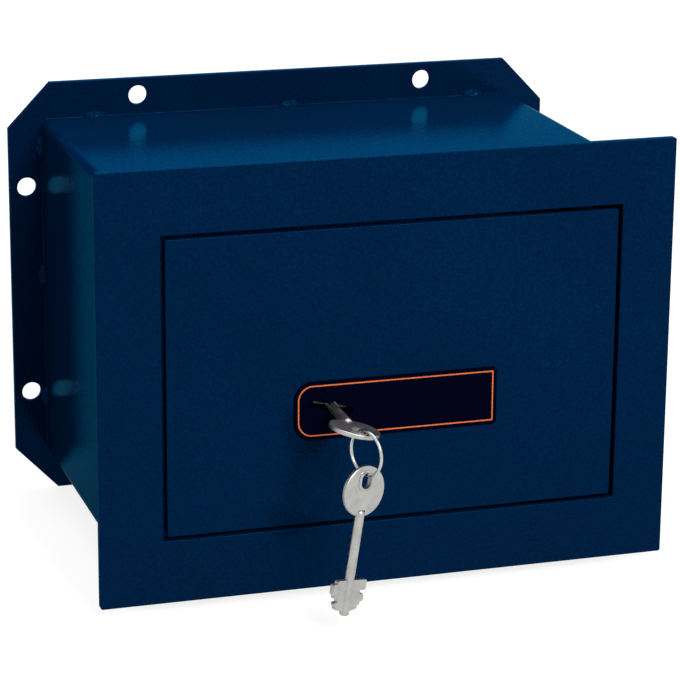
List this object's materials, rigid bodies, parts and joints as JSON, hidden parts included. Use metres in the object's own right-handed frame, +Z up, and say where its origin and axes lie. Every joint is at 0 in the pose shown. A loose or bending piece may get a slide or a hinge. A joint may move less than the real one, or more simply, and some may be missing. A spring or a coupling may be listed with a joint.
{
  "type": "key lock wall safe",
  "caption": "Recessed steel wall safe: framed flush door with a double-bit key lock, welded box body, and a larger rear flange with cut corners and fixing holes.",
  "frame": {"origin": "centre of the rear flange's rear face", "axes": "+X to the right seen from the front, +Y from the door to the rear flange, +Z up"},
  "size_m": [0.29, 0.2458, 0.218],
  "materials": {
    "navy_paint": "satin textured powder coat",
    "black_plate": "satin",
    "orange_line": "printed line",
    "key_steel": "nickel plated, worn",
    "ring_wire": "bright drawn wire",
    "lock_steel": "zinc plated sheet",
    "lever_brass": "stamped",
    "bolt_steel": "turned and plated",
    "hard_steel": "hardened, blackened",
    "spring_steel": "blue spring strip"
  },
  "bodies": {
    "safe_body": {"front_frame": "navy_paint", "body_shell": "navy_paint", "rear_flange": "navy_paint", "rear_tack_welds": "navy_paint", "front_tack_welds": "navy_paint", "door_stop_left": "navy_paint", "door_stop_top": "navy_paint", "door_stop_bottom": "navy_paint", "hinge_bracket_upper": "navy_paint", "hinge_bracket_lower": "navy_paint", "hinge_pin_upper": "navy_paint", "hinge_pin_lower": "navy_paint"},
    "door": {"door_panel": "navy_paint", "nameplate": "black_plate", "nameplate_outline": "orange_line", "hinge_lug_upper": "navy_paint", "hinge_lug_lower": "navy_paint", "hinge_side_guard": "navy_paint", "hard_plate": "hard_steel", "lock_case": "lock_steel", "lock_cover": "lock_steel", "lock_posts": "lock_steel", "lock_cover_screws": "lock_steel", "lever_post": "lock_steel", "lever_1": "lever_brass", "lever_2": "lever_brass", "lever_3": "lever_brass", "lever_4": "lever_brass", "lever_5": "lever_brass", "lever_springs": "spring_steel", "bolt_guide": "navy_paint", "bolt_bushes": "lever_brass"},
    "rotor": {"key_rotor": "hard_steel"},
    "bolts": {"bolt_tail": "bolt_steel", "bolt_stump": "bolt_steel", "bolt_bar": "bolt_steel", "bolt_upper": "bolt_steel", "bolt_lower": "bolt_steel", "bolt_rivets": "bolt_steel"},
    "key": {"key_stem": "key_steel", "key_bit": "key_steel", "key_bow": "key_steel"},
    "ring": {"key_ring": "ring_wire"},
    "spare_key": {"spare_key_stem": "key_steel", "spare_key_bit": "key_steel", "spare_key_bow": "key_steel"}
  },
  "joints": [
    {"name": "door_swing", "type": "hinge", "parent": "safe_body", "child": "door", "pos_m": [0.1004, -0.1825, 0], "axis": [0, 0, 1], "range_deg": [0, 110]},
    {"name": "key_turn", "type": "hinge", "parent": "door", "child": "rotor", "pos_m": [-0.0293, -0.19, -0.0146], "axis": [0, -1, 0], "range_deg": [0, 360]},
    {"name": "bolt_throw", "type": "slide", "parent": "door", "child": "bolts", "axis": [-1, 0, 0], "range_m": [0, 0.016]},
    {"name": "key_withdraw", "type": "slide", "parent": "rotor", "child": "key", "axis": [0, -1, 0], "range_m": [0, 0.03]},
    {"name": "ring_swing", "type": "hinge", "parent": "key", "child": "ring", "pos_m": [-0.02676, -0.23535, -0.01384], "axis": [0.398, -0.9174, 0], "range_deg": [-12, 12]},
    {"name": "spare_key_swing", "type": "hinge", "parent": "ring", "child": "spare_key", "pos_m": [-0.02676, -0.23535, -0.03349], "axis": [0.398, -0.9174, 0], "range_deg": [-20, 20]}
  ],
  "couplings": [
    {"joint": "key_turn", "follows": "bolt_throw", "rad_per_m": 392.7}
  ]
}
